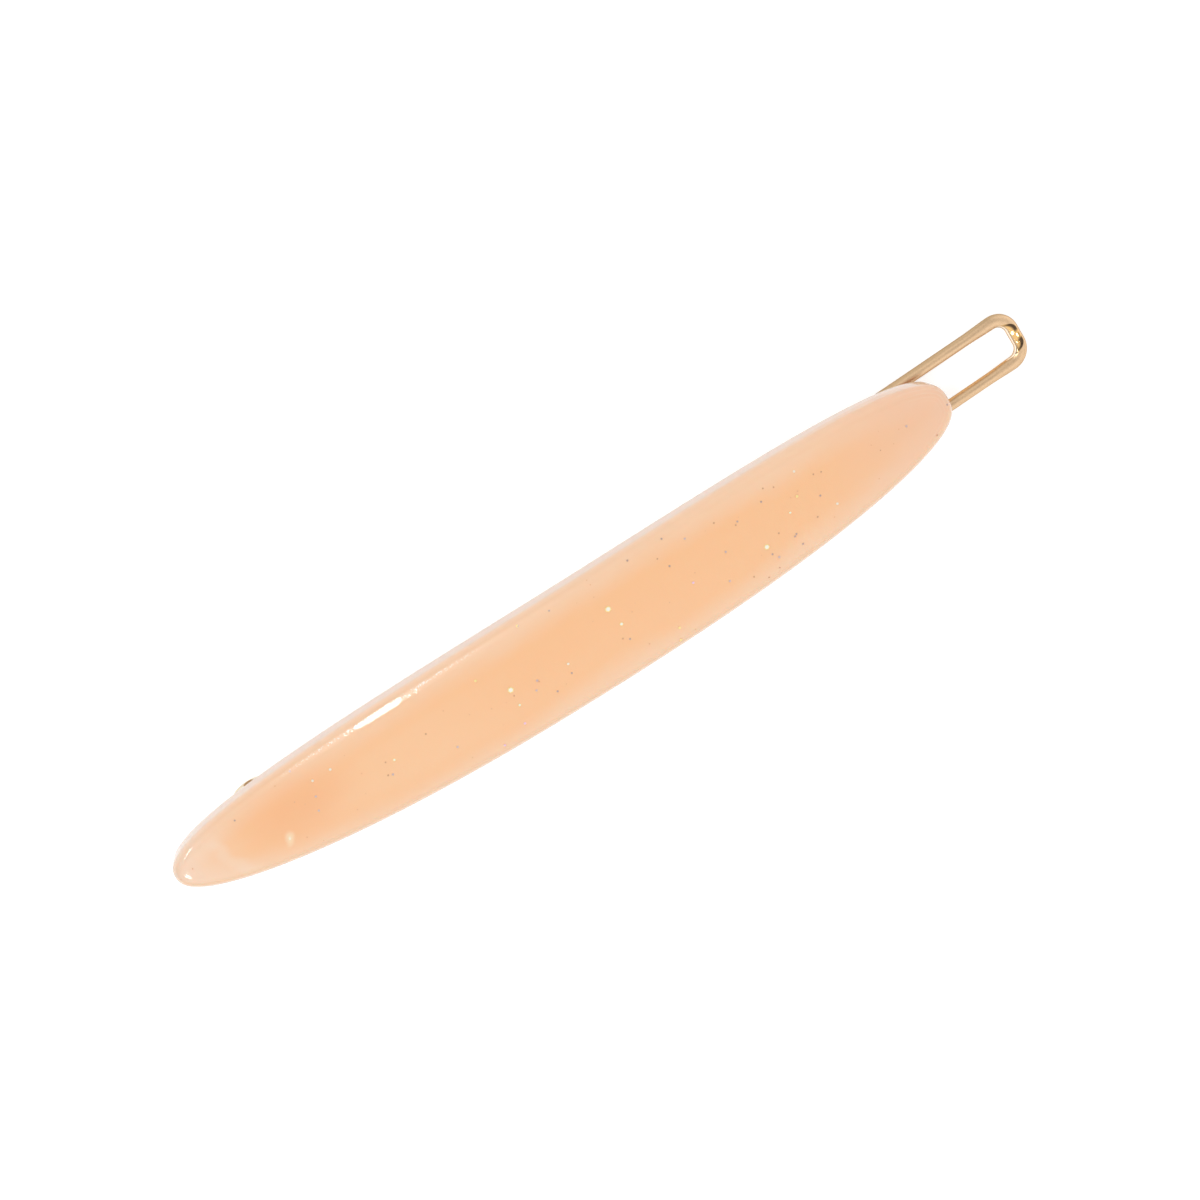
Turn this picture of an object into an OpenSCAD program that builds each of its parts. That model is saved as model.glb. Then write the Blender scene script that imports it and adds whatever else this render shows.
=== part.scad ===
// Hairpin of the hinged loop kind. A glossy resin bar is glued on an arched plate of sheet metal.
// A sprung wire loop turns in two ears of the plate and holds the hair up against its underside.
// X runs along the bar to the loop's closed end, Y across it and Z up. The part stands on Z = 0.

/* [Resin bar] */
// Length of the bar along its underside
bar_len = 88; // [70:0.5:110]
// Greatest width of the bar, at its middle
bar_w = 11.6; // [10:0.1:18]
// Height that the underside rises from its tips to its middle
bar_rise = 4; // [2:0.1:7]
// Height of the upright edge, up to the shoulder
bar_wall_h = 1.9; // [1:0.1:4]
// How far the rounded shoulder runs in from the edge
shoulder_w = 1.1; // [0.5:0.1:1.4]
// Height of the rounded shoulder
shoulder_h = 0.9; // [0.4:0.1:1.6]
// Height of the crown above the shoulders, at the middle
crown_h = 0.5; // [0.1:0.1:1.5]
// Rounding of the lower edge
bar_edge_r = 0.3; // [0.1:0.05:0.5]

/* [Glue] */
// Thickness of the film of glue between bar and plate
glue_t = 0.15; // [0.05:0.05:0.4]
// How far the glue is squeezed out past the plate
glue_margin = 0.25; // [0.1:0.05:0.5]
// How deep the glue stays back in the plate's holes
glue_recess = 0.15; // [0.05:0.05:0.4]

/* [Base plate] */
// Thickness of the sheet metal
plate_t = 0.4; // [0.3:0.05:0.7]
// Distance of the strip's round end from the bar's left tip
plate_left_inset = 5; // [3:0.1:7]
// Distance of the strip's lip from the bar's right tip
plate_right_inset = 6; // [5:0.1:12]
// Inner radius of every bend in the sheet
sheet_bend_r = 0.3; // [0.1:0.05:0.5]
// How much narrower than the strip the lip is, on each side
lip_step = 0.3; // [0.1:0.05:1]
// How far the lip stands below the strip
lip_h = 1.1; // [0.8:0.05:1.6]
// Diameter of the two glue holes
glue_hole_d = 1.6; // [1:0.1:2.4]
// Distance of the glue holes from the middle of the strip
glue_hole_x = 22; // [12:0.5:26]

/* [Hinge] */
// Distance of the hinge from the bar's left tip
hinge_inset = 10.4; // [9:0.1:16]
// Depth of the hinge axis below the strip
hinge_drop = 1.1; // [1:0.05:2]
// Radius of the round bottom of an ear
ear_r = 1.8; // [1.6:0.05:3]
// Depth of the centre of that round below the strip
ear_round_drop = 0.4; // [0.4:0.05:1.2]
// Clearance between a leg of the loop and its ear
ear_side_clear = 0.1; // [0.08:0.01:0.3]
// Clearance round the wire in the ear's hole
hinge_clear = 0.04; // [0.02:0.01:0.08]
// How far the wire's end stands out of the ear
wire_end_out = 0.15; // [0.1:0.05:0.8]

/* [Wire loop] */
// Diameter of the wire
wire_d = 1.15; // [0.8:0.05:1.4]
// Width of the loop over its two legs
loop_w = 5.9; // [5:0.1:7]
// Bend radius of the two corners of the closed end, at the middle of the wire
turn_r = 1.6; // [1.2:0.05:1.9]
// Width of the flattened wire in the closed end, in the plane of the loop
turn_wire_w = 1.35; // [1:0.05:1.6]
// Thickness of the flattened wire in the closed end
turn_wire_h = 0.95; // [0.7:0.05:1.3]
// Length of leg over which the round wire becomes flat
turn_blend = 3; // [1:0.5:6]
// How far the loop's closed end stands out past the bar
loop_past_bar = 9.8; // [6:0.1:16]
// Room for hair between strip and wire, halfway along
hair_room = 1.9; // [1.5:0.05:3]
// Clearance between the wire and the lip when shut
lip_clear = 0.05; // [0.03:0.01:0.2]
// How far past the lip the legs still bow before they run straight
bow_past_lip = 3; // [1:0.1:5]

/* [Hidden] */
$fn = 64;

// Overrun of the cuts
cut = 0.5;
// Curved faces that lie on each other stay this far apart, because they are meshed as flat facets
facet_clear = 0.02;
// Overlap by which stretches of one piece run into each other
lap = 0.1;
// Length of the flat neck between the strip and the bend of a tab, and how much deeper than the
// curved strip it lies
bend_neck = 0.1;
neck_sink = 0.02;

// The outline of the bar is a superellipse. Its power is higher at the right, where the end is blunter
left_power = 2.4;
right_power = 2.85;
outline_steps = 96;
// How strongly the points of the outline crowd towards the tips, where it curves most
tip_crowding = 20;
shoulder_steps = 5;
edge_steps = 3;
// Shares of the way from the shoulder in to the middle line at which the crown has a ring
crown_shares = [0.25, 0.5, 0.75, 0.95];
// Share of the bar's half length by which the crown's middle line stops short of the tips
spine_share = 0.06;

// The arch: the radius of the bar's underside, and the angle at a distance along it
arch_r = (pow(bar_len / 2, 2) + pow(bar_rise, 2)) / (2 * bar_rise);
function arch_angle(along) = along / arch_r * 180 / PI;

// The point of the X Z plane that lies at a distance along the arch and a depth below it
function arch_point(along, depth) = [
    (arch_r - depth) * sin(arch_angle(along)),
    (arch_r - depth) * cos(arch_angle(along)) - arch_r
];

// Depths below the bar's underside
plate_top = glue_t;
plate_under = glue_t + plate_t;
hinge_depth = plate_under + hinge_drop;

// Distances along the arch from its middle, positive to the right
plate_left = plate_left_inset - bar_len / 2;
plate_right = bar_len / 2 - plate_right_inset;
plate_mid = (plate_left + plate_right) / 2;
hinge_along = hinge_inset - bar_len / 2;

wire_r = wire_d / 2;
leg_y = loop_w / 2 - wire_r;
ear_inner_y = loop_w / 2 + ear_side_clear;
ear_outer_y = ear_inner_y + plate_t;
elbow_r = wire_r + ear_side_clear / 2;
pin_from = leg_y + elbow_r;

// The strip is as wide as the flat between the necks of its two ears
plate_w = 2 * (ear_outer_y - plate_t - sheet_bend_r - bend_neck);
lip_root = plate_right - plate_t - sheet_bend_r - bend_neck;
lip_w = plate_w - 2 * lip_step;

// Underside of the flat neck of a bent tab, and the top of the tab below its bend
bend_top = -plate_under - neck_sink;
tab_top = bend_top - sheet_bend_r;

// The bow of the legs is the circle that passes through two points below the strip, halfway along
// and at the lip, and that the line from the hinge touches one elbow radius away.
hinge_at = arch_point(hinge_along, hinge_depth);
lip_along = plate_right - plate_t / 2;
half_at = arch_point((hinge_along + lip_along) / 2, plate_under + hair_room + wire_r);
lip_at = arch_point(lip_along, plate_under + lip_h + lip_clear + wire_r);
row_1 = 2 * (half_at - hinge_at);
row_2 = 2 * (lip_at - half_at);
sum_1 = pow(elbow_r, 2) - hinge_at * hinge_at + half_at * half_at;
sum_2 = lip_at * lip_at - half_at * half_at;
bow_det = row_1.x * row_2.y - row_1.y * row_2.x;
bow_at = [
    (sum_1 * row_2.y - row_1.y * sum_2) / bow_det,
    (row_1.x * sum_2 - sum_1 * row_2.x) / bow_det
];
bow_r = norm(half_at - bow_at);

// Angles round the bow's centre, from +X towards +Z
hinge_dir = atan2(hinge_at.y - bow_at.y, hinge_at.x - bow_at.x);
lip_dir = atan2(lip_at.y - bow_at.y, lip_at.x - bow_at.x);
bow_start = hinge_dir - atan(elbow_r / bow_r);
bow_end = lip_dir - bow_past_lip / bow_r * 180 / PI;
hinge_slope = bow_start - 90;
tail_slope = bow_end - 90;
tail_at = bow_at + bow_r * [cos(bow_end), sin(bow_end)];

// The ends of the whole part along X, and its lowest point, under the loop's closed end
tail_dir = [cos(tail_slope), sin(tail_slope)];
bar_tip_x = (arch_r + bar_wall_h) * sin(arch_angle(bar_len / 2));
loop_end_x = bar_tip_x + loop_past_bar;
tail_len = (loop_end_x - tail_at.x) / tail_dir.x - turn_r - turn_wire_w / 2;
turn_at = tail_at + tail_len * tail_dir;
turn_end_at = turn_at + turn_r * tail_dir;
part_mid_x = (loop_end_x - bar_tip_x) / 2;
part_low_z = turn_end_at.y - turn_wire_h / 2 * tail_dir.x;

// Sets the arch down in the part's own frame
module in_frame() {
    translate([-part_mid_x, 0, -part_low_z]) children();
}

// Carries what is drawn at the middle of the arch along it
module along_arch(along) {
    translate([0, 0, -arch_r])
        rotate([0, arch_angle(along), 0])
            translate([0, 0, arch_r]) children();
}

// A slab that follows the arch between two distances along it and two depths below it
module arch_slab(left, right, top, under, width) {
    translate([0, 0, -arch_r])
        rotate([90, 0, 0])
            rotate([0, 0, 90 - arch_angle(right)])
                rotate_extrude(angle = arch_angle(right - left), $fn = 360)
                    translate([arch_r - under, -width / 2])
                        square([under - top, width]);
}

// The outline of the strip, grown by a margin: round at the left and square at the right
module strip_outline(margin) {
    half = plate_w / 2 + margin;
    round_x = arch_point(plate_left + plate_w / 2, plate_top).x;
    end_x = arch_point(plate_right + margin, plate_top).x;
    translate([round_x, 0]) circle(r = half);
    translate([round_x, -half]) square([end_x - round_x, 2 * half]);
}

// A point of the bar's outline, and the way out of it
function plan_power(along) = along < 0 ? left_power : right_power;
function plan_point(turn) =
    let (
        crowded = turn - tip_crowding * sin(2 * turn),
        power = plan_power(cos(crowded)),
        across = 1 - pow(abs(cos(crowded)), power)
    )
    [
        bar_len / 2 * cos(crowded),
        sign(sin(crowded)) * bar_w / 2 * pow(max(across, 0), 1 / power)
    ];
function plan_out(p) =
    let (
        steepness = plan_power(p.x) - 1,
        out_x = sign(p.x) * pow(abs(2 * p.x / bar_len), steepness) / bar_len,
        out_y = sign(p.y) * pow(abs(2 * p.y / bar_w), steepness) / bar_w
    )
    [out_x, out_y] / norm([out_x, out_y]);

// A point of the bar: in from the outline by an inset, then by a share of the way to the middle line.
// Above the upright edge the crown is added, which fades to the tips as the bar gets narrow.
function bar_point(turn, inset, share, height) =
    let (
        edge = plan_point(turn),
        p = edge - inset * plan_out(edge),
        across = p.y * (1 - share),
        crown = height > bar_wall_h ? crown_at(edge.y, across) : 0,
        on_arch = arch_point(p.x * (1 - share * spine_share), -height - crown)
    )
    [on_arch.x, across, on_arch.y];

// Height of the crown at a distance across from the middle line, where the outline is edge_y away
function crown_at(edge_y, across) =
    edge_y == 0 ? 0 : crown_h * abs(edge_y) / (bar_w / 2) * (1 - pow(across / edge_y, 2));

// The rings of the bar from its underside up, each an inset, a share and a height
shoulder_top = bar_wall_h + shoulder_h;
edge_rings = [for (i = [0 : edge_steps])
    let (turn = 90 * i / edge_steps)
    [bar_edge_r * (1 - sin(turn)), 0, bar_edge_r * (1 - cos(turn))]];
shoulder_rings = [for (i = [0 : shoulder_steps])
    let (turn = 90 * i / shoulder_steps)
    [shoulder_w * (1 - cos(turn)), 0, bar_wall_h + shoulder_h * sin(turn)]];
crown_rings = [for (share = crown_shares) [shoulder_w, share, shoulder_top]];
bar_rings = concat(edge_rings, shoulder_rings, crown_rings);

module resin_bar() {
    n = outline_steps;
    half = n / 2;
    top = (len(bar_rings) - 1) * n;
    points = [for (ring = bar_rings, i = [0 : n - 1])
        bar_point(360 * i / n, ring[0], ring[1], ring[2])];
    sides = [for (k = [0 : len(bar_rings) - 2], i = [0 : n - 1])
        let (a = k * n + i, b = k * n + (i + 1) % n)
        each [[a, b + n, b], [a, a + n, b + n]]];
    caps = [for (i = [0 : half - 1])
        let (a = i, b = i + 1, c = (n - i - 1) % n, d = (n - i) % n)
        each concat(
            i < half - 1 ? [[a, b, c], [top + a, top + c, top + b]] : [],
            i > 0 ? [[a, c, d], [top + a, top + d, top + c]] : []
        )];
    color("#f7c69b")
        in_frame() polyhedron(points, concat(sides, caps), convexity = 4);
}

module glue_bed() {
    color("#efe6cf")
        in_frame() {
            intersection() {
                arch_slab(plate_left - 2 * glue_margin, plate_right + glue_margin,
                    facet_clear, glue_t - facet_clear, plate_w + 2 * (glue_margin + cut));
                translate([0, 0, -bar_len / 2])
                    linear_extrude(bar_len) strip_outline(glue_margin);
            }
            glue_plugs();
        }
}

// The glue that fills the strip's holes, a little short of its underside
module glue_plugs() {
    plug_h = plate_under - glue_recess - 2 * facet_clear;
    for (side = [-1, 1])
        along_arch(plate_mid + side * glue_hole_x)
            translate([0, 0, -plate_under + glue_recess])
                cylinder(d = glue_hole_d - 2 * facet_clear, h = plug_h);
}

// Sheet bent down through a right angle from Y = 0 outwards along +Y. Its flat neck runs back into
// the strip, and lies a little deeper than the curved strip does.
module sheet_bend(width) {
    translate([-width / 2, 0, bend_top]) {
        translate([0, -bend_neck - lap, 0]) cube([width, bend_neck + lap, plate_t]);
        translate([0, 0, -sheet_bend_r])
            rotate([0, 90, 0])
                rotate([0, 0, 90])
                    rotate_extrude(angle = 90)
                        translate([sheet_bend_r, 0]) square([plate_t, width]);
    }
}

// One ear, on the +Y side: its bend, and the flat tab with the hinge hole
module ear() {
    round_z = -plate_under - ear_round_drop;
    translate([0, plate_w / 2 + bend_neck, 0]) sheet_bend(2 * ear_r);
    translate([0, ear_outer_y, 0])
        rotate([90, 0, 0])
            linear_extrude(plate_t)
                difference() {
                    union() {
                        translate([0, round_z]) circle(r = ear_r);
                        translate([-ear_r, round_z]) square([2 * ear_r, tab_top - round_z]);
                    }
                    translate([-ear_r - cut, tab_top]) square([2 * (ear_r + cut), ear_r + cut]);
                    translate([0, -hinge_depth]) circle(r = wire_r + hinge_clear);
                }
}

// The strip's right end turned down, as the stop that the shut loop rests on
module lip() {
    translate([bend_neck, 0, 0]) {
        rotate([0, 0, -90]) sheet_bend(lip_w);
        translate([sheet_bend_r, -lip_w / 2, -plate_under - lip_h])
            cube([plate_t, lip_w, tab_top + plate_under + lip_h]);
    }
}

module base_plate() {
    color("#c9a06a")
        in_frame() {
            difference() {
                intersection() {
                    arch_slab(plate_left - plate_w, lip_root,
                        plate_top, plate_under, plate_w + 2 * cut);
                    translate([0, 0, -bar_len / 2])
                        linear_extrude(bar_len) strip_outline(0);
                }
                for (side = [-1, 1])
                    along_arch(plate_mid + side * glue_hole_x)
                        translate([0, 0, -plate_under - cut])
                            cylinder(d = glue_hole_d, h = plate_t + 2 * cut);
            }
            along_arch(hinge_along) {
                ear();
                mirror([0, 1, 0]) ear();
            }
            along_arch(lip_root) lip();
        }
}

// The wire is drawn as rings along its path. A station of the path is a place in the X Z plane, the
// way forward there, the wire's place across the loop from it, the wire's own side direction across
// the loop, and how far the round wire is flattened there, from 0 to 1.
elbow_steps = 5;
bow_steps = 16;
blend_steps = 4;
turn_steps = 7;
wire_sides = 16;
// The swept wire is this much thinner than its pins, so that its rings end inside them
sweep_clear = 0.01;

function elbow_station(side, turn, out) = [
    hinge_at, [cos(hinge_slope), sin(hinge_slope)],
    [elbow_r * (1 - cos(turn)), side * (pin_from + out - elbow_r * sin(turn))],
    [cos(turn), side * sin(turn)], 0
];
function bow_station(side, dir) = [
    bow_at + bow_r * [cos(dir), sin(dir)], [sin(dir), -cos(dir)],
    [0, side * leg_y], [0, side], 0
];
function blend_station(side, share) = [
    turn_at, tail_dir,
    [-turn_blend * (1 - share), side * leg_y], [0, side], share * share * (3 - 2 * share)
];
function turn_station(side, turn) = [
    turn_at, tail_dir,
    [turn_r * sin(turn), side * (leg_y - turn_r * (1 - cos(turn)))], [sin(turn), side * cos(turn)], 1
];
function half_path(side) = concat(
    [elbow_station(side, 0, 2 * lap)],
    [for (i = [0 : elbow_steps - 1]) elbow_station(side, 90 * i / elbow_steps, 0)],
    [for (i = [0 : bow_steps]) bow_station(side, bow_start + (bow_end - bow_start) * i / bow_steps)],
    [for (i = [0 : blend_steps - 1]) blend_station(side, i / blend_steps)],
    [for (i = [0 : turn_steps]) turn_station(side, 90 * i / turn_steps)]
);
function backwards(list) = [for (i = [len(list) - 1 : -1 : 0]) list[i]];

// The ring of points round a station
function wire_ring(station) =
    let (
        at = station[0], ahead = station[1], place = station[2], aside = station[3],
        half_w = (wire_r - sweep_clear) * (1 - station[4]) + turn_wire_w / 2 * station[4],
        half_h = (wire_r - sweep_clear) * (1 - station[4]) + turn_wire_h / 2 * station[4],
        middle = at + place.x * ahead
    )
    [for (i = [0 : wire_sides - 1])
        let (
            turn = 360 * i / wire_sides,
            in_plane = middle + half_w * cos(turn) * aside.x * ahead,
            on_ring = in_plane + half_h * sin(turn) * [-ahead.y, ahead.x]
        )
        [on_ring.x, place.y + half_w * cos(turn) * aside.y, on_ring.y]];

module wire_loop() {
    path = concat(half_path(1), backwards(half_path(-1)));
    rings = [for (station = path) wire_ring(station)];
    n = wire_sides;
    last = (len(rings) - 1) * n;
    sides = [for (k = [0 : len(rings) - 2], i = [0 : n - 1])
        let (a = k * n + i, b = k * n + (i + 1) % n)
        each [[a, a + n, b + n], [a, b + n, b]]];
    ends = [[for (i = [0 : n - 1]) i], [for (i = [n - 1 : -1 : 0]) last + i]];
    color("#e2bf94")
        in_frame() {
            polyhedron([for (ring = rings) each ring], concat(sides, ends), convexity = 6);
            for (side = [-1, 1])
                hinge_pin(side);
        }
}

// The straight end of the wire, which turns in the ear
module hinge_pin(side) {
    translate([hinge_at.x, side * pin_from, hinge_at.y])
        rotate([-side * 90, 0, 0])
            cylinder(d = wire_d, h = ear_outer_y + wire_end_out - pin_from);
}

resin_bar();
glue_bed();
base_plate();
wire_loop();
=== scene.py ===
import math
import bpy
from mathutils import Matrix, Vector, kdtree


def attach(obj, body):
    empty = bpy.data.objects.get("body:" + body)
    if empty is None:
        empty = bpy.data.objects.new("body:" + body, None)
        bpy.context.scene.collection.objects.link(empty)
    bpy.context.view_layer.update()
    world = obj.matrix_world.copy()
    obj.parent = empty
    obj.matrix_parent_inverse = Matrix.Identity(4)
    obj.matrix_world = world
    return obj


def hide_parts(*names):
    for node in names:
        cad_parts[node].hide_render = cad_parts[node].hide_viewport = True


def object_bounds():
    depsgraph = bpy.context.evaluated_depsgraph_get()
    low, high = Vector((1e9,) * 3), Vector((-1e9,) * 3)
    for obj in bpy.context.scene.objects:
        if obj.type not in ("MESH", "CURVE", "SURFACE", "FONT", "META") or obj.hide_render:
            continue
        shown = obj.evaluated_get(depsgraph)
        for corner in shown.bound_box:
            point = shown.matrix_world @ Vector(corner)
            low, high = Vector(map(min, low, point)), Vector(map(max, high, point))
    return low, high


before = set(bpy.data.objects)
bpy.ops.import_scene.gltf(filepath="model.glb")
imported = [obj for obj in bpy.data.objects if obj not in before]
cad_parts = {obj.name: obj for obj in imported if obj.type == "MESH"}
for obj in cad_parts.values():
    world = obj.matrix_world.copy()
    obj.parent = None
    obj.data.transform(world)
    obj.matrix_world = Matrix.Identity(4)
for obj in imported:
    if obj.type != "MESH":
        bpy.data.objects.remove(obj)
cad_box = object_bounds()

# The camera looks down on the dome of the clip from a long way off. The clip lies askew in the
# picture, with its loop at the upper right, and the camera leans towards its far long side.
mm = 0.001
picture_width = 1200
photo_scale = 10.3 / mm
sensor_width = 36
camera_distance = 600 * mm
camera_lean = math.radians(20.5)
camera_turn = math.radians(31.92)
nearest_seen, farthest_seen = 10 * mm, 10
bar_middle = Vector((-4.9, 0, 4.918)) * mm
bar_middle_from_centre = (-39.5, -35.8)


def placed(name, data):
    made = bpy.data.objects.new(name, data)
    bpy.context.scene.collection.objects.link(made)
    return made


def facing(place, rightward, upward, backward):
    return Matrix.Translation(place) @ Matrix((rightward, upward, backward)).transposed().to_4x4()


towards_camera = Vector((0, math.sin(camera_lean), math.cos(camera_lean)))
along_bar = Vector((1, 0, 0))
across_bar = Vector((0, math.cos(camera_lean), -math.sin(camera_lean)))
right = math.cos(camera_turn) * along_bar - math.sin(camera_turn) * across_bar
up = math.sin(camera_turn) * along_bar + math.cos(camera_turn) * across_bar
aim = bar_middle - (right * bar_middle_from_centre[0] + up * bar_middle_from_centre[1]) / photo_scale

camera_data = bpy.data.cameras.new("camera")
camera_data.sensor_width = sensor_width
camera_data.lens = photo_scale * camera_distance * sensor_width / picture_width
camera_data.clip_start = nearest_seen
camera_data.clip_end = farthest_seen
camera = placed("camera", camera_data)
camera.matrix_world = facing(aim + towards_camera * camera_distance, right, up, towards_camera)
bpy.context.scene.camera = camera
bpy.context.scene.view_settings.view_transform = "Standard"

# The clip lies on a plain white table top. The camera, polished metal and clear things see the
# table lit up to white, and it still takes the clip's soft shadow.
table_half = 1.5
table_paper = (0.6, 0.6, 0.6, 1)
table_white = (1, 1, 1, 1)
table_glow = 0.65


def add(tree, kind, inputs=None, **settings):
    made = tree.nodes.new(kind)
    for name, value in settings.items():
        setattr(made, name, value)
    for socket, value in (inputs or {}).items():
        if isinstance(value, bpy.types.NodeSocket):
            tree.links.new(value, made.inputs[socket])
        else:
            made.inputs[socket].default_value = value
    return made


def maths(tree, operation, a, b=0.0, clamp=False):
    return add(tree, "ShaderNodeMath", {0: a, 1: b}, operation=operation, use_clamp=clamp).outputs[0]


def new_material(name):
    material = bpy.data.materials.new(name)
    material.use_nodes = True
    material.node_tree.nodes.clear()
    return material, material.node_tree


def mesh_object(name, points, faces, smooth=True):
    mesh = bpy.data.meshes.new(name)
    mesh.from_pydata([tuple(p) for p in points], [], faces)
    mesh.polygons.foreach_set("use_smooth", [smooth] * len(mesh.polygons))
    mesh.update()
    return placed(name, mesh)


table_corners = [(x * table_half, y * table_half, 0) for x, y in ((-1, -1), (1, -1), (1, 1), (-1, 1))]
table = mesh_object("table_top", table_corners, [(0, 1, 2, 3)], smooth=False)
material, paint = new_material("white table top")
path = add(paint, "ShaderNodeLightPath").outputs
seen = maths(paint, "MAXIMUM", path["Is Camera Ray"], path["Is Glossy Ray"])
seen = maths(paint, "MAXIMUM", seen, path["Is Transmission Ray"])
paper = add(paint, "ShaderNodeBsdfDiffuse", {"Color": table_paper})
glow = add(paint, "ShaderNodeEmission", {
    "Color": table_white,
    "Strength": maths(paint, "MULTIPLY", seen, table_glow),
})
both = add(paint, "ShaderNodeAddShader", {0: paper.outputs[0], 1: glow.outputs[0]})
add(paint, "ShaderNodeOutputMaterial", {"Surface": both.outputs[0]})
table.data.materials.append(material)

# The studio is a white tent, brightest on its near side and beyond the clip's right end. A long
# strip lamp stands over the far side, with a wide dim panel behind it, and two small lamps stand
# off the clip's left tip. A fade is written as its start, its end and the level at each.
tent_greys = ((0.0, 0.355), (0.35, 0.403), (0.7, 0.47), (1.0, 0.528))
near_side_fade = (0.2, -0.7, 1.0, 2.2)
right_way = (0.866, 0.5, 0)
right_side_fade = (0.3, 1.0, 0.0, 0.77)
far_side_fade = (0.2, 1.0, 0.0, 0.24)


def ranged(tree, value, start, end, at_start=0.0, at_end=1.0):
    sockets = {"Value": value, "From Min": start, "From Max": end, "To Min": at_start, "To Max": at_end}
    return add(tree, "ShaderNodeMapRange", sockets, interpolation_type="SMOOTHSTEP").outputs["Result"]


def parts_of(tree, vector):
    return add(tree, "ShaderNodeSeparateXYZ", {0: vector}).outputs


def colour_steps(tree, value, stops, interpolation):
    made = add(tree, "ShaderNodeValToRGB", {0: value})
    made.color_ramp.interpolation = interpolation
    while len(made.color_ramp.elements) < len(stops):
        made.color_ramp.elements.new(0.5)
    for element, (place, colour) in zip(made.color_ramp.elements, stops):
        element.position = place
        element.color = (*colour, 1)
    return made.outputs[0]


world = bpy.data.worlds.new("white tent")
bpy.context.scene.world = world
world.use_nodes = True
tent = world.node_tree
tent.nodes.clear()
way = add(tent, "ShaderNodeTexCoord").outputs["Generated"]
way_parts = parts_of(tent, way)
tent_steps = [(height, (grey, grey, grey)) for height, grey in tent_greys]
tent_cloth = colour_steps(tent, way_parts["Z"], tent_steps, "EASE")
cloth_light = add(tent, "ShaderNodeBackground", {
    "Color": tent_cloth,
    "Strength": ranged(tent, way_parts["Y"], *near_side_fade),
})
rightness = add(tent, "ShaderNodeVectorMath", {0: way, 1: right_way}, operation="DOT_PRODUCT")
right_side = ranged(tent, rightness.outputs["Value"], *right_side_fade)
far_side = ranged(tent, way_parts["Y"], *far_side_fade)
side_light = add(tent, "ShaderNodeBackground", {"Strength": maths(tent, "ADD", right_side, far_side)})
tent_light = add(tent, "ShaderNodeAddShader", {0: cloth_light.outputs[0], 1: side_light.outputs[0]})
add(tent, "ShaderNodeOutputWorld", {"Surface": tent_light.outputs[0]})


def soft_lamp(name, towards, distance, size, power, turn=0.0):
    lamp_data = bpy.data.lights.new(name, "AREA")
    lamp_data.shape = "ELLIPSE"
    lamp_data.size, lamp_data.size_y = size
    lamp_data.energy = power
    back = Vector(towards).normalized()
    level = (along_bar - back * back.dot(along_bar)).normalized()
    side = math.cos(turn) * level - math.sin(turn) * back.cross(level)
    lamp = placed(name, lamp_data)
    lamp.matrix_world = facing(bar_middle + back * distance, side, back.cross(side), back)


soft_lamp("long strip lamp", towards=(-0.293, 0.606, 1), distance=0.6, size=(0.05, 0.58), power=0.96)
soft_lamp("dim wide panel", towards=(-0.33, 1.1, 1), distance=0.7, size=(0.32, 0.16), power=0.105)
soft_lamp("tip lamp", towards=(-1.18, 0.613, 1), distance=0.6, size=(0.04, 0.18), power=0.2,
          turn=math.radians(14))
soft_lamp("small tip lamp", towards=(-0.648, -0.448, 1), distance=0.625, size=(0.02, 0.02), power=0.0145)

# The resin bar is cast in peach resin, cut to a long leaf shape that is blunter at the loop's end,
# bent over an arch and polished. It is a little clear, and paler at its rim than in its middle.
bar_length = 87.96 * mm
bar_width = 11.6 * mm
arch_radius = 244 * mm
wall_height = 1.9 * mm
shoulder_in = 1.1 * mm
shoulder_up = 0.9 * mm
crown_up = 0.45 * mm
lower_edge = 0.3 * mm
left_power, right_power = 2.4, 2.85
tip_crowding = math.radians(20)
on_axis = 1e-9
outline_points = 288
edge_rings, shoulder_rings = 5, 14
under_insets = (1.2 * mm, 0.6 * mm)
wall_heights = (0.8 * mm, 1.3 * mm)
crown_shares = (0.02, 0.05, 0.09, 0.14, 0.2, 0.27, 0.35, 0.44, 0.54, 0.64, 0.74, 0.84, 0.92, 0.97)
part_shift = Vector((-4.9, 0, 7.40713)) * mm


def outline(turn):
    crowded = turn - tip_crowding * math.sin(2 * turn)
    c, s = math.cos(crowded), math.sin(crowded)
    power = left_power if c < 0 else right_power
    x = bar_length / 2 * c
    y = math.copysign(bar_width / 2 * max(1 - abs(c) ** power, 0) ** (1 / power), s)
    if abs(s) < on_axis:
        y = 0.0
    out = Vector((math.copysign(abs(2 * x / bar_length) ** (power - 1) / bar_length, x),
                  math.copysign(abs(2 * y / bar_width) ** (power - 1) / bar_width, y)))
    return Vector((x, y)), out.normalized()


def crown_at(x, y):
    power = left_power if x < 0 else right_power
    spread = abs(2 * x / bar_length) ** power + abs(2 * y / bar_width) ** power
    return crown_up * max(1 - spread ** (2 / power), 0)


def on_arch(x, y, height):
    angle = x / arch_radius
    return Vector(((arch_radius + height) * math.sin(angle), y,
                   (arch_radius + height) * math.cos(angle) - arch_radius)) + part_shift


rings = [(inset, 0, 0.0) for inset in under_insets]
for i in range(edge_rings + 1):
    turn = math.pi / 2 * i / edge_rings
    rings.append((lower_edge * (1 - math.sin(turn)), 0, lower_edge * (1 - math.cos(turn))))
rings += [(0, 0, height) for height in wall_heights]
for i in range(shoulder_rings + 1):
    turn = math.pi / 2 * i / shoulder_rings
    rings.append((shoulder_in * (1 - math.cos(turn)), 0, wall_height + shoulder_up * math.sin(turn)))
rings += [(shoulder_in, share, wall_height + shoulder_up) for share in crown_shares + (1.0,)]

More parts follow.
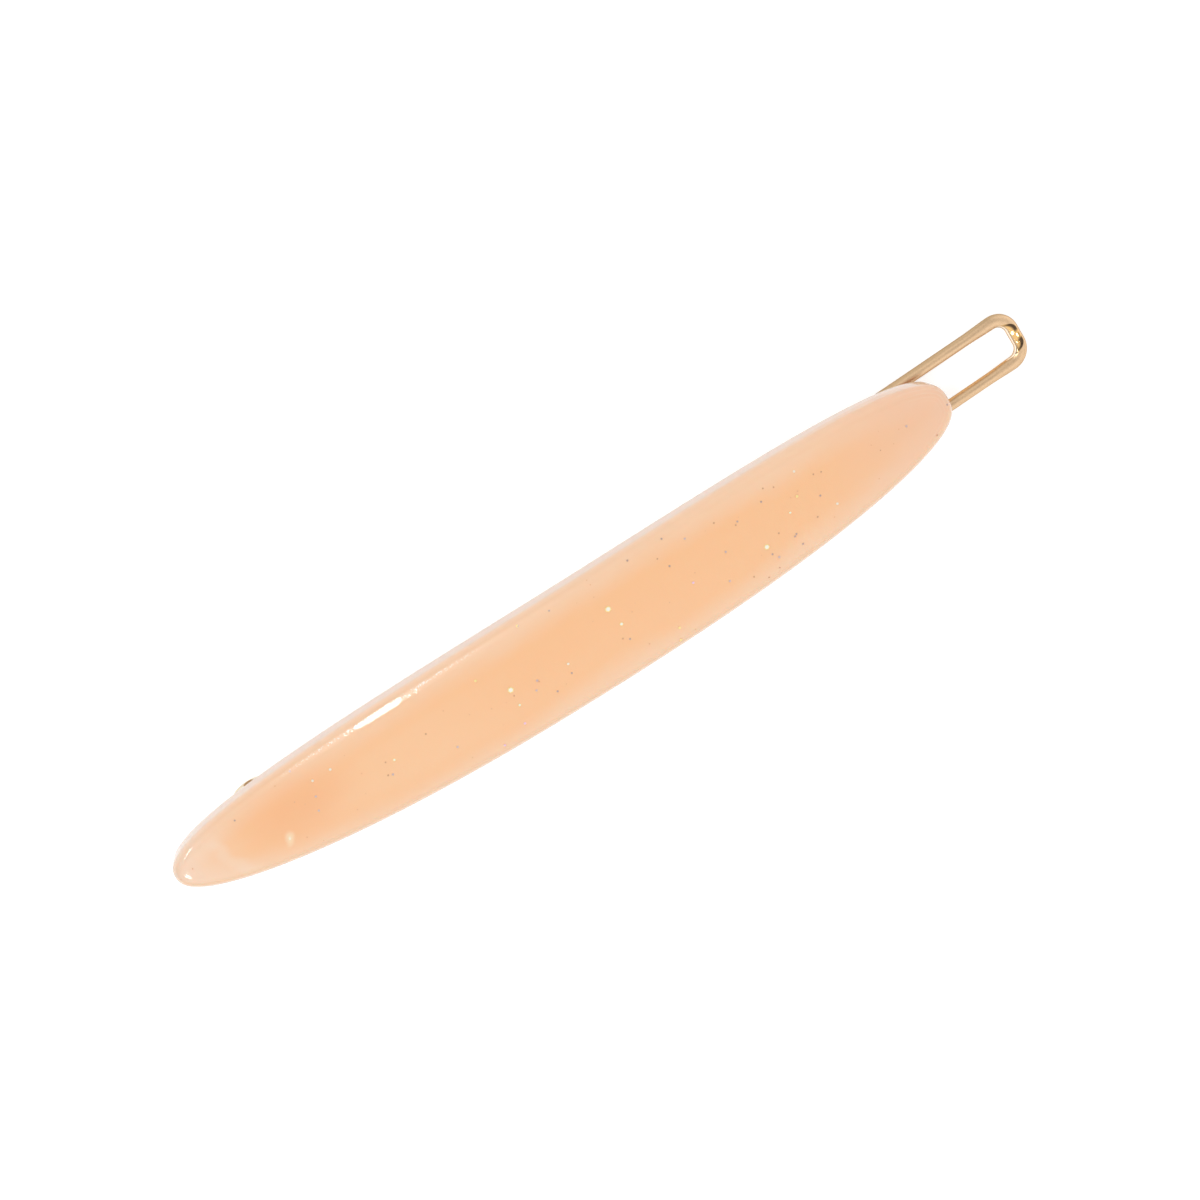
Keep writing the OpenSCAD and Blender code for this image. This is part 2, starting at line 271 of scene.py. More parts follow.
outline_tree = kdtree.KDTree(4 * outline_points)
for i in range(4 * outline_points):
    edge, out = outline(math.pi / 2 * i / outline_points)
    outline_tree.insert((edge.x, edge.y, 0), i)
outline_tree.balance()

points, faces, from_edge, along, high = [], [], [], [], []
count = outline_points
for inset, share, height in rings:
    for i in range(count if share < 1 else 1):
        edge, out = outline(2 * math.pi * i / count)
        plan = (edge - out * inset) * (1 - share)
        crown = crown_at(plan.x, plan.y) if height > wall_height else 0
        points.append(on_arch(plan.x, plan.y, height + crown))
        from_edge.append(outline_tree.find((plan.x, plan.y, 0))[2] / mm)
        along.append(plan.x / (bar_length / 2))
        high.append(height / mm)
for k in range(len(rings) - 2):
    for i in range(count):
        a, b = k * count + i, k * count + (i + 1) % count
        faces.append((a, b, b + count, a + count))
top = (len(rings) - 2) * count
faces += [(top + i, top + (i + 1) % count, top + count) for i in range(count)]
for i in range(count // 2):
    low = [i, (count - i) % count, (count - i - 1) % count, i + 1]
    faces.append(tuple(v for n, v in enumerate(low) if v not in low[:n]))
resin_bar = mesh_object("resin_bar_polished", points, faces)


def store(made, name, values):
    made.data.attributes.new(name, "FLOAT", "POINT").data.foreach_set("value", values)


store(resin_bar, "from_edge", from_edge)
store(resin_bar, "along", along)
store(resin_bar, "high", high)


def attribute(tree, name):
    return add(tree, "ShaderNodeAttribute", attribute_name=name).outputs["Fac"]


def object_place(tree):
    return add(tree, "ShaderNodeTexCoord").outputs["Object"]


def times(tree, *values):
    product = values[0]
    for value in values[1:]:
        product = maths(tree, "MULTIPLY", product, value)
    return product


def swing(tree, value, amount):
    return maths(tree, "MULTIPLY", maths(tree, "SUBTRACT", value, 0.5), amount)


def mixed(tree, share, a, b):
    return add(tree, "ShaderNodeMix", {0: share, 6: a, 7: b}, data_type="RGBA").outputs[2]


def noise(tree, scale, stretch=(1, 1, 1), detail=3.0, rough=0.5):
    stretched = add(tree, "ShaderNodeMapping", {"Vector": object_place(tree), "Scale": stretch})
    return add(tree, "ShaderNodeTexNoise", {
        "Vector": stretched.outputs[0],
        "Scale": scale,
        "Detail": detail,
        "Roughness": rough,
    }).outputs["Fac"]


def length_of(tree, vector):
    return add(tree, "ShaderNodeVectorMath", {0: vector}, operation="LENGTH").outputs["Value"]


def patch_way(tree, at, turn, reach):
    patch = add(tree, "ShaderNodeMapping", {
        "Vector": object_place(tree),
        "Location": at,
        "Rotation": (0, 0, turn),
        "Scale": reach,
    }, vector_type="TEXTURE")
    return length_of(tree, patch.outputs[0])


# The resin's cloudy body is peach in its core and paler towards both ends. Its paler rim is painted light,
# standing in for light scattered back through the resin near its edge.
core_peach = (0.965, 0.53, 0.262, 1)
painted_rim_light_peach = (0.945, 0.61, 0.39, 1)
light_peach = (0.965, 0.56, 0.3, 1)
cloud_swing, wisp_swing = 3.2, 0.9
end_paling = (0.35, 0.9, 0, 0.8)
core_from_edge = (0.2, 3.1)
light_from_edge, light_along = (1.5, 4.0), (-0.05, -0.4)
material, paint = new_material("cast peach resin")
edge_mm = attribute(paint, "from_edge")
along_place = attribute(paint, "along")
high_mm = attribute(paint, "high")
bar_parts = parts_of(paint, object_place(paint))
clouds = noise(paint, scale=120, stretch=(0.55, 1, 1), detail=4, rough=0.55)
wisps = noise(paint, scale=430, stretch=(0.3, 1, 1), detail=5, rough=0.6)
drift = maths(paint, "ADD", swing(paint, clouds, cloud_swing), swing(paint, wisps, wisp_swing))
depth = maths(paint, "ADD", edge_mm, drift)
depth = maths(paint, "SUBTRACT", depth, ranged(paint, maths(paint, "ABSOLUTE", along_place), *end_paling))
# Painted light: the rim is mixed paler, standing in for light scattered through the resin.
colour = mixed(paint, ranged(paint, depth, *core_from_edge), painted_rim_light_peach, core_peach)
light = times(paint, ranged(paint, depth, *light_from_edge), ranged(paint, along_place, *light_along))
colour = mixed(paint, light, colour, light_peach)

# A deeper patch lies near the hinge, and each end of the bar has a colour of its own.
deep_peach = (0.94, 0.475, 0.22, 1)
right_end_peach = (0.89, 0.54, 0.35, 1)
left_end_cream = (0.94, 0.69, 0.53, 1)
deep_patch_at = Vector((-35.6, 0.5, 8.4)) * mm
deep_patch_reach = Vector((9.0, 5.0, 8.0)) * mm
deep_patch_drift = 0.12
deep_patch_fade = (1.0, 0.1, 0, 0.85)
right_end_fade = (0.6, 1.0, 0, 0.8)
left_end_fade = (-0.8, -1.0, 0, 0.75)
deep_way = maths(paint, "ADD", patch_way(paint, deep_patch_at, 0.0, deep_patch_reach),
                 maths(paint, "MULTIPLY", drift, deep_patch_drift))
colour = mixed(paint, ranged(paint, deep_way, *deep_patch_fade), colour, deep_peach)
colour = mixed(paint, ranged(paint, along_place, *right_end_fade), colour, right_end_peach)
colour = mixed(paint, ranged(paint, along_place, *left_end_fade), colour, left_end_cream)

# A pale wisp curls through the left end, where the resin was poured in an arc.
wisp_cream = (0.95, 0.74, 0.58, 1)
wisp_centre = Vector((-38.7, 1.6, 8.0)) * mm
wisp_reach = Vector((5.35, 5.35, 5.35)) * mm
wisp_raggedness = 0.35
wisp_fade = (0.2, 0.02, 0, 0.32)
wisp_across, wisp_along = (2.6 * mm, 1.2 * mm), (-40.5 * mm, -42.0 * mm)
wisp_way = maths(paint, "ADD", patch_way(paint, wisp_centre, 0.0, wisp_reach),
                 swing(paint, wisps, wisp_raggedness))
wisp_off = maths(paint, "ABSOLUTE", maths(paint, "SUBTRACT", wisp_way, 1.0))
wisp = times(paint, ranged(paint, wisp_off, *wisp_fade), ranged(paint, bar_parts["Y"], *wisp_across),
             ranged(paint, bar_parts["X"], *wisp_along))
colour = mixed(paint, wisp, colour, wisp_cream)

# Fine pale lines show where the sander cut through the resin's layers at the right end. The near shoulder is
# painted lighter as painted light, and the wall is painted paler as a painted sheen.
layer_and_painted_wall_cream = (0.92, 0.66, 0.51, 1)
painted_near_shoulder_light = (1.0, 0.64, 0.4, 1)
layer_waves, layer_wobble = 17.0, 0.25
layer_fade, layer_from_edge, layer_along = (0.2, 1.0, 0, 0.34), (2.0, 0.5), (0.87, 0.96)
shoulder_top, shoulder_foot, shoulder_near = (2.82, 2.68), (2.45, 2.58), (0.5 * mm, -1.5 * mm)
wall_rise, wall_fade = (0.5, 0.95, 0, 0.7), (1.95, 1.45)
layers = maths(paint, "ADD", edge_mm, maths(paint, "MULTIPLY", wisps, layer_wobble))
layers = maths(paint, "SINE", maths(paint, "MULTIPLY", layers, layer_waves))
layers = times(paint, ranged(paint, layers, *layer_fade), ranged(paint, edge_mm, *layer_from_edge),
               ranged(paint, along_place, *layer_along))
colour = mixed(paint, layers, colour, layer_and_painted_wall_cream)
# Painted light: the near shoulder is mixed lighter to lift its shade.
near_shoulder_lift = times(paint, ranged(paint, high_mm, *shoulder_top), ranged(paint, high_mm, *shoulder_foot),
                      ranged(paint, bar_parts["Y"], *shoulder_near))
colour = mixed(paint, near_shoulder_lift, colour, painted_near_shoulder_light)
# Painted sheen: the wall is mixed paler, standing in for the white surroundings it reflects.
wall_place = maths(paint, "ADD", high_mm, ranged(paint, along_place, *wall_rise))
colour = mixed(paint, ranged(paint, wall_place, *wall_fade), colour, layer_and_painted_wall_cream)

# A painted glint of the hinge's gold, seen through the resin, lies here as a small pale patch with a brighter
# heart.
painted_hinge_glint, painted_glint_heart = (1.0, 0.86, 0.6, 1), (1.0, 0.96, 0.82, 1)
hinge_glow_at = Vector((-37.47, -1.8, 8.23)) * mm
hinge_glow_turn = math.radians(56)
hinge_glow_reach = Vector((0.95, 0.55, 1.2)) * mm
hinge_glow_raggedness = 1.6
painted_glint_fade, painted_glint_heart_fade = (1.3, 0.3, 0, 0.5), (0.45, 0.1, 0, 0.8)
glow_way = maths(paint, "ADD", patch_way(paint, hinge_glow_at, hinge_glow_turn, hinge_glow_reach),
                 swing(paint, wisps, hinge_glow_raggedness))
colour = mixed(paint, ranged(paint, glow_way, *painted_glint_fade), colour, painted_hinge_glint)
colour = mixed(paint, ranged(paint, glow_way, *painted_glint_heart_fade), colour, painted_glint_heart)

# A broken line of painted white glints runs along the far shoulder, as a painted highlight.
painted_glint_white = (1.0, 0.93, 0.87, 1)
glint_from_edge = 0.52
glint_width, glint_breaks = (0.2, 0.05), (0.5, 0.62, 0, 0.8)
glint_left_end, glint_right_end = (-0.72, -0.55), (-0.12, -0.3)
glint_off = maths(paint, "ABSOLUTE", maths(paint, "SUBTRACT", edge_mm, glint_from_edge))
shoulder_glints = times(paint, ranged(paint, glint_off, *glint_width),
              ranged(paint, noise(paint, scale=6000, detail=2), *glint_breaks),
              ranged(paint, along_place, *glint_left_end), ranged(paint, along_place, *glint_right_end),
              maths(paint, "GREATER_THAN", bar_parts["Y"]))
colour = mixed(paint, shoulder_glints, colour, painted_glint_white)

# The polished skin is gently uneven, with a fine orange peel over longer ripples.
peel_share = 0.12
peel = maths(paint, "MULTIPLY", noise(paint, scale=5200, detail=2), peel_share)
ripple = add(paint, "ShaderNodeBump", {
    "Strength": 0.2,
    "Distance": 0.05 * mm,
    "Height": maths(paint, "ADD", noise(paint, scale=1200, detail=4), peel),
})
resin = add(paint, "ShaderNodeBsdfPrincipled", {
    "Base Color": colour,
    "Roughness": 0.34,
    "IOR": 1.5,
    "Subsurface Weight": 0.3,
    "Subsurface Radius": (1.0, 0.6, 0.4),
    "Subsurface Scale": 1.0 * mm,
    "Coat Weight": 1.0,
    "Coat Roughness": 0.02,
    "Coat IOR": 1.6,
    "Normal": ripple.outputs[0],
    "Coat Normal": ripple.outputs[0],
})
add(paint, "ShaderNodeOutputMaterial", {"Surface": resin.outputs[0]})
resin_bar.data.materials.append(material)
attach(resin_bar, "bar")
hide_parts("resin_bar")

# The glitter is cut from metallised film: tiny six-sided flakes that lie nearly flat in the skin
# of the resin, each tipped its own way. Most look copper, brown or dull rose, and a few shine
# lilac, cream, gold or white.
flake_seed = 7
flakes_per_square_metre = 110000.0
smallest_flake, largest_flake = 0.08 * mm, 0.3 * mm
flake_sides = 6
flake_thinness = 0.08
flake_from_edge = 0.45
flake_tilt = 0.12
film_tints = (
    (0.0, (0.8, 0.44, 0.25)),
    (0.35, (0.68, 0.37, 0.22)),
    (0.56, (0.56, 0.39, 0.34)),
    (0.7, (0.7, 0.52, 0.5)),
    (0.83, (0.9, 0.6, 0.75)),
    (0.9, (0.95, 0.85, 0.7)),
    (0.97, (1.0, 0.8, 0.35)),
    (0.995, (1.0, 0.97, 0.84)),
)


def tree_with(name, inputs):
    tree = bpy.data.node_groups.new(name, "GeometryNodeTree")
    tree.interface.new_socket("Geometry", in_out="INPUT", socket_type="NodeSocketGeometry")
    sockets = {}
    for label, (kind, value) in inputs.items():
        socket = tree.interface.new_socket(label, in_out="INPUT", socket_type=kind)
        if value is not None:
            socket.default_value = value
        sockets[label] = socket.identifier
    tree.interface.new_socket("Geometry", in_out="OUTPUT", socket_type="NodeSocketGeometry")
    return tree, sockets


def finish_tree(tree, geometry, finish):
    real = add(tree, "GeometryNodeRealizeInstances", {0: geometry})
    finished = add(tree, "GeometryNodeSetMaterial", {"Geometry": real.outputs[0], "Material": finish})
    add(tree, "NodeGroupOutput", {0: finished.outputs[0]})


def made_by(tree, sockets, source, name, settings):
    modifier = source.modifiers.new(tree.name, "NODES")
    modifier.node_group = tree
    for label, value in settings.items():
        modifier[sockets[label]] = value
    bpy.context.view_layer.update()
    evaluated = source.evaluated_get(bpy.context.evaluated_depsgraph_get())
    mesh = bpy.data.meshes.new_from_object(evaluated)
    mesh.name = name
    source.modifiers.remove(modifier)
    return placed(name, mesh)


def named(tree, name):
    made = add(tree, "GeometryNodeInputNamedAttribute", {"Name": name}, data_type="FLOAT")
    return made.outputs["Attribute"]


scattering, sockets = tree_with("scattered flakes", {
    "Flakes per square metre": ("NodeSocketFloat", 1.0),
    "Smallest flake": ("NodeSocketFloat", smallest_flake),
    "Largest flake": ("NodeSocketFloat", largest_flake),
    "Seed": ("NodeSocketInt", 0),
    "Finish": ("NodeSocketMaterial", None),
})
given = add(scattering, "NodeGroupInput").outputs
on_face = add(scattering, "FunctionNodeCompare", {
    "A": named(scattering, "from_edge"),
    "B": flake_from_edge,
}, data_type="FLOAT", operation="GREATER_THAN")
scatter = add(scattering, "GeometryNodeDistributePointsOnFaces", {
    "Mesh": given["Geometry"],
    "Selection": on_face.outputs["Result"],
    "Density": given["Flakes per square metre"],
    "Seed": given["Seed"],
}, distribute_method="RANDOM")
flake = add(scattering, "GeometryNodeMeshCylinder", {
    "Vertices": flake_sides,
    "Radius": 0.5,
    "Depth": flake_thinness,
}, fill_type="NGON")
lifted = add(scattering, "GeometryNodeTransform", {
    "Geometry": flake.outputs["Mesh"],
    "Translation": (0, 0, flake_thinness),
})
flat = add(scattering, "GeometryNodeSetShadeSmooth", {"Geometry": lifted.outputs[0], "Shade Smooth": False})
size = add(scattering, "FunctionNodeRandomValue", {
    2: given["Smallest flake"],
    3: given["Largest flake"],
    "Seed": given["Seed"],
}, data_type="FLOAT")
tilt = add(scattering, "FunctionNodeRandomValue", {
    0: (-flake_tilt, -flake_tilt, 0),
    1: (flake_tilt, flake_tilt, 2 * math.pi),
    "Seed": given["Seed"],
}, data_type="FLOAT_VECTOR")
tint = add(scattering, "FunctionNodeRandomValue", {"Seed": given["Seed"]}, data_type="FLOAT")
tilted = add(scattering, "FunctionNodeEulerToRotation", {0: tilt.outputs[0]})
turned = add(scattering, "FunctionNodeRotateRotation", {
    0: scatter.outputs["Rotation"],
    1: tilted.outputs[0],
}, rotation_space="LOCAL")
laid = add(scattering, "GeometryNodeInstanceOnPoints", {
    "Points": scatter.outputs["Points"],
    "Instance": flat.outputs[0],
    "Rotation": turned.outputs[0],
    "Scale": size.outputs[1],
})
tinted = add(scattering, "GeometryNodeStoreNamedAttribute", {
    "Geometry": laid.outputs[0],
    "Name": "flake_tint",
    "Value": tint.outputs[1],
}, data_type="FLOAT", domain="INSTANCE")
finish_tree(scattering, tinted.outputs[0], given["Finish"])

material, paint = new_material("metallised film flakes")
film = add(paint, "ShaderNodeBsdfPrincipled", {
    "Base Color": colour_steps(paint, attribute(paint, "flake_tint"), film_tints, "CONSTANT"),
    "Metallic": 0.6,
    "Roughness": 0.3,
})
add(paint, "ShaderNodeOutputMaterial", {"Surface": film.outputs[0]})

ground = resin_bar.copy()
bpy.context.scene.collection.objects.link(ground)
flakes = made_by(scattering, sockets, ground, "glitter_flakes", {
    "Flakes per square metre": flakes_per_square_metre,
    "Smallest flake": smallest_flake,
    "Largest flake": largest_flake,
    "Seed": flake_seed,
    "Finish": material,
})
bpy.data.objects.remove(ground)
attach(flakes, "bar")

# Seven bright flakes of the same film lie flat on the face, each a painted sparkle: a white hexagon over a
# slightly wider gold one as its painted halo. Each has its place on the bar and its reach, all in mm.
bright_places = (((-11.59, 0.1), 0.22), ((0.32, 1.86), 0.22), ((0.66, -0.15), 0.14), ((16.29, -1.71), 0.2),
                 ((-24.5, 0.03), 0.11), ((-11.63, -1.72), 0.11), ((19.9, -0.12), 0.1))
painted_halo_tint, halo_spread, halo_lift = 0.98, 1.45, 0.015 * mm
painted_sparkle_tint, sparkle_spread, sparkle_lift = 1.0, 1.0, 0.03 * mm
hexagons = ((painted_halo_tint, halo_spread, halo_lift), (painted_sparkle_tint, sparkle_spread, sparkle_lift))
points, faces, tints = [], [], []
for (x, y), reach in bright_places:
    plan = math.asin((x * mm - part_shift.x) / arch_radius) * arch_radius
    face_height = wall_height + shoulder_up + crown_at(plan, y * mm)
    for film_tint, spread, lift in hexagons:
        start = len(points)
        for i in range(flake_sides):
            turn = 2 * math.pi / flake_sides * i + x
            points.append(on_arch(plan + reach * spread * mm * math.cos(turn),
                                  (y + reach * spread * math.sin(turn)) * mm, face_height + lift))
        faces.append(tuple(range(start, start + flake_sides)))
        tints += [film_tint] * flake_sides
bright_flakes = mesh_object("bright_flakes", points, faces, smooth=False)
store(bright_flakes, "flake_tint", tints)
bright_flakes.data.materials.append(material)
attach(bright_flakes, "bar")

# The base plate is a strip of gold plated steel, punched with two glue holes and bent to the bar's
# arch. Two ears for the hinge and the lip that stops the loop are turned down from it.
strip_gold, strip_gold_clean = (0.68, 0.58, 0.42, 1), (0.78, 0.68, 0.5, 1)
strip_gloss = (0.3, 0.7, 0.22, 0.38)
material, paint = new_material("gold plated strip")
grain = noise(paint, scale=1500, stretch=(0.03, 1, 1))
scratches = add(paint, "ShaderNodeBump", {"Strength": 0.25, "Distance": 0.01 * mm, "Height": grain})
plated = add(paint, "ShaderNodeBsdfPrincipled", {
    "Base Color": mixed(paint, noise(paint, scale=90, detail=4), strip_gold, strip_gold_clean),
    "Metallic": 1.0,
    "Roughness": ranged(paint, grain, *strip_gloss),
    "Normal": scratches.outputs[0],
})
add(paint, "ShaderNodeOutputMaterial", {"Surface": plated.outputs[0]})
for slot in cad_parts["base_plate"].material_slots:
    slot.material = material

# The glue bed is a thin film of clear two-part glue that holds the plate under the bar. It is
# pressed out a little past the strip and up into its two holes, and has set slightly yellow.
glue_yellow, glue_clear = (0.9, 0.78, 0.58, 1), (0.94, 0.88, 0.76, 1)
material, paint = new_material("set clear glue")
lumps = add(paint, "ShaderNodeBump", {
    "Strength": 0.4,
    "Distance": 0.05 * mm,
    "Height": noise(paint, scale=700, detail=2),
})
glue = add(paint, "ShaderNodeBsdfPrincipled", {
    "Base Color": mixed(paint, noise(paint, scale=300), glue_yellow, glue_clear),
    "Roughness": 0.12,
    "IOR": 1.5,
    "Transmission Weight": 0.5,
    "Normal": lumps.outputs[0],
})
add(paint, "ShaderNodeOutputMaterial", {"Surface": glue.outputs[0]})
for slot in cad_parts["glue_bed"].material_slots:
    slot.material = material

# The wire loop is one length of gold plated spring wire. Its two ends turn outwards through the
# ears, its legs bow under the strip, and its closed end is pressed flatter as a tab for the finger.
wire_diameter = 1.15 * mm
end_width, end_thickness = 1.35 * mm, 0.93 * mm
leg_y = 2.375 * mm
pin_from, pin_to = 3.0 * mm, 3.6 * mm
elbow_radius = 0.625 * mm
turn_radius = 1.6 * mm
blend_length = 3 * mm
wire_end_round = 0.12 * mm
plate_under = 0.55 * mm
hinge_along, hinge_depth = -33.6 * mm, 1.65 * mm
lip_along, lip_depth = 37.8 * mm, 1.15 * mm
hair_room = 1.9 * mm
bow_past_lip = 3 * mm
wire_sides = 32
elbow_steps, bow_steps, tail_steps, blend_steps, turn_steps, end_steps = 10, 56, 16, 14, 22, 5
wire_radius = wire_diameter / 2
loop_end = cad_box[1].x - end_width / 2


def below_arch(along, depth):
    place = on_arch(along, 0, -depth)
    return Vector((place.x, place.z))


# The bow is one arc, which runs on from the elbow at the hinge and passes below hair room and lip.
hinge = below_arch(hinge_along, hinge_depth)
half_way = below_arch((hinge_along + lip_along) / 2, plate_under + hair_room + wire_radius)
at_lip = below_arch(lip_along, plate_under + lip_depth + wire_radius)
row_1, row_2 = 2 * (half_way - hinge), 2 * (at_lip - half_way)
sum_1 = elbow_radius ** 2 - hinge.length_squared + half_way.length_squared
sum_2 = at_lip.length_squared - half_way.length_squared
cross = row_1.x * row_2.y - row_1.y * row_2.x
bow_centre = Vector(((sum_1 * row_2.y - row_1.y * sum_2) / cross,
                     (row_1.x * sum_2 - sum_1 * row_2.x) / cross))
bow_radius = (half_way - bow_centre).length
hinge_way = math.atan2(hinge.y - bow_centre.y, hinge.x - bow_centre.x)
lip_way = math.atan2(at_lip.y - bow_centre.y, at_lip.x - bow_centre.x)
bow_start = hinge_way - math.atan(elbow_radius / bow_radius)
bow_end = lip_way - bow_past_lip / bow_radius
hinge_ahead = Vector((math.sin(bow_start), -math.cos(bow_start)))
tail_ahead = Vector((math.sin(bow_end), -math.cos(bow_end)))
tail_start = bow_centre + bow_radius * Vector((math.cos(bow_end), math.sin(bow_end)))
tail_length = (loop_end - tail_start.x) / tail_ahead.x - turn_radius
turn_start = tail_start + tail_length * tail_ahead


def half_of_loop():
    stations = []
    for i in range(end_steps + 1):
        turn = math.pi / 2 * i / end_steps
        stations.append((hinge, pin_to - wire_end_round * (1 - math.cos(turn)), 0,
                         1 - wire_end_round * (1 - math.sin(turn)) / wire_radius))
    for i in range(elbow_steps):
        turn = math.pi / 2 * i / elbow_steps
        stations.append((hinge + elbow_radius * (1 - math.cos(turn)) * hinge_ahead,
                         pin_from - elbow_radius * math.sin(turn), 0, 1))
    for i in range(bow_steps):
        way = bow_start + (bow_end - bow_start) * i / bow_steps
        stations.append((bow_centre + bow_radius * Vector((math.cos(way), math.sin(way))), leg_y, 0, 1))
    for i in range(tail_steps):
        gone = (tail_length - blend_length) * i / tail_steps
        stations.append((tail_start + gone * tail_ahead, leg_y, 0, 1))
    for i in range(blend_steps):
        share = i / blend_steps
        stations.append((turn_start - blend_length * (1 - share) * tail_ahead, leg_y,
                         share * share * (3 - 2 * share), 1))
    for i in range(turn_steps + 1):
        turn = math.pi / 2 * i / turn_steps
        stations.append((turn_start + turn_radius * math.sin(turn) * tail_ahead,
                         leg_y - turn_radius * (1 - math.cos(turn)), 1, 1))
    return stations


near_half = half_of_loop()
stations = near_half + [(place, -y, flat, thick) for place, y, flat, thick in reversed(near_half)]
wire_path = placed("wire_path", bpy.data.meshes.new("wire_path"))
wire_path.data.from_pydata([(place.x, y, place.y) for place, y, flat, thick in stations],
                           [(i, i + 1) for i in range(len(stations) - 1)], [])
store(wire_path, "pressed", [flat for place, y, flat, thick in stations])
store(wire_path, "thick", [thick for place, y, flat, thick in stations])


def vectors(tree, operation, a, b):
    made = add(tree, "ShaderNodeVectorMath", {0: a, 1: b}, operation=operation)
    return made.outputs["Value"] if operation == "DOT_PRODUCT" else made.outputs["Vector"]


def scaled(tree, vector, scale):
    made = add(tree, "ShaderNodeVectorMath", {0: vector, "Scale": scale}, operation="SCALE")
    return made.outputs["Vector"]


def kept_as(tree, name, geometry, value):
    return add(tree, "GeometryNodeStoreNamedAttribute", {
        "Geometry": geometry,
        "Name": name,
        "Value": value,
    }, data_type="FLOAT", domain="POINT").outputs[0]


bending, sockets = tree_with("bent wire", {
    "Wire radius": ("NodeSocketFloat", wire_radius),
    "Sides": ("NodeSocketInt", wire_sides),
    "Pressed width": ("NodeSocketFloat", end_width),
    "Pressed thickness": ("NodeSocketFloat", end_thickness),
    "Pressing direction": ("NodeSocketVector", (0, 0, 1)),
    "Finish": ("NodeSocketMaterial", None),
})
given = add(bending, "NodeGroupInput").outputs
as_curve = add(bending, "GeometryNodeMeshToCurve", {"Mesh": given["Geometry"]})
thickness = add(bending, "GeometryNodeSetCurveRadius", {
    "Curve": as_curve.outputs["Curve"],
    "Radius": named(bending, "thick"),
})
here = add(bending, "GeometryNodeInputPosition").outputs[0]
ahead = add(bending, "GeometryNodeInputTangent").outputs[0]
middle = add(bending, "GeometryNodeCaptureAttribute", {"Geometry": thickness.outputs[0]})
for label, value in (("Middle", here), ("Ahead", ahead)):
    middle.capture_items.new("VECTOR", label)
    bending.links.new(value, middle.inputs[label])
profile = add(bending, "GeometryNodeCurvePrimitiveCircle", {
    "Resolution": given["Sides"],
    "Radius": given["Wire radius"],
})
swept = add(bending, "GeometryNodeCurveToMesh", {
    "Curve": middle.outputs["Geometry"],
    "Profile Curve": profile.outputs["Curve"],
    "Fill Caps": True,
})

outward = vectors(bending, "SUBTRACT", here, middle.outputs["Middle"])
inner_way = vectors(bending, "CROSS_PRODUCT", middle.outputs["Ahead"], given["Pressing direction"])
innerness = vectors(bending, "DOT_PRODUCT", outward, inner_way)
upness = vectors(bending, "DOT_PRODUCT", outward, given["Pressing direction"])
farness = parts_of(bending, outward)["Y"]
wire = swept.outputs[0]
for name, distance in (("inner_side", innerness), ("upper_side", upness), ("far_side", farness)):
    wire = kept_as(bending, name, wire, maths(bending, "DIVIDE", distance, given["Wire radius"]))

upward = scaled(bending, given["Pressing direction"], upness)
sideways = vectors(bending, "SUBTRACT", outward, upward)
across_wire = maths(bending, "MULTIPLY", given["Wire radius"], 2)
pressed_share = named(bending, "pressed")
pressed_out = []
for part, pressed_size in ((sideways, "Pressed width"), (upward, "Pressed thickness")):
    growth = maths(bending, "SUBTRACT", maths(bending, "DIVIDE", given[pressed_size], across_wire), 1.0)
    pressed_out.append(scaled(bending, part, maths(bending, "MULTIPLY", growth, pressed_share)))
pressed = add(bending, "GeometryNodeSetPosition", {
    "Geometry": wire,
    "Offset": vectors(bending, "ADD", *pressed_out),
})
smooth = add(bending, "GeometryNodeSetShadeSmooth", {"Geometry": pressed.outputs[0]})
finish_tree(bending, smooth.outputs[0], given["Finish"])

# The plating is satin. Its sides are painted darker as painted shade and dark reflections, and its inner edge
# is painted orange as a painted reflection.
deep_satin, light_satin = (0.88, 0.6, 0.36, 1), (0.92, 0.65, 0.405, 1)
speck_brown, speck_fade = (0.6, 0.4, 0.22, 1), (0.55, 0.35, 0, 0.3)
# Painted shade on the sides and a painted orange reflection on the inner edge: the attribute, its fade and
# its colour.
painted_wire_shading = (
    ("upper_side", (0.75, 0.1, 0, 0.9), (0.42, 0.26, 0.145, 1)),
    ("far_side", (0.4, 0.95, 0, 0.85), (0.5, 0.35, 0.2, 1)),
    ("far_side", (-0.4, -0.95, 0, 0.5), (0.52, 0.35, 0.2, 1)),
    ("inner_side", (0.7, 0.95, 0, 0.45), (0.85, 0.42, 0.13, 1)),
)
satin_gloss = (0.3, 0.7, 0.28, 0.4)
material, paint = new_material("gold plated wire")
drawn = noise(paint, scale=2500, stretch=(0.05, 1, 1))
stain = noise(paint, scale=160, detail=4)
specks = noise(paint, scale=7000, detail=2)
satin_gold = mixed(paint, stain, deep_satin, light_satin)
satin_gold = mixed(paint, ranged(paint, specks, *speck_fade), satin_gold, speck_brown)
for side, shade_fade, painted_colour in painted_wire_shading:
    satin_gold = mixed(paint, ranged(paint, attribute(paint, side), *shade_fade), satin_gold, painted_colour)

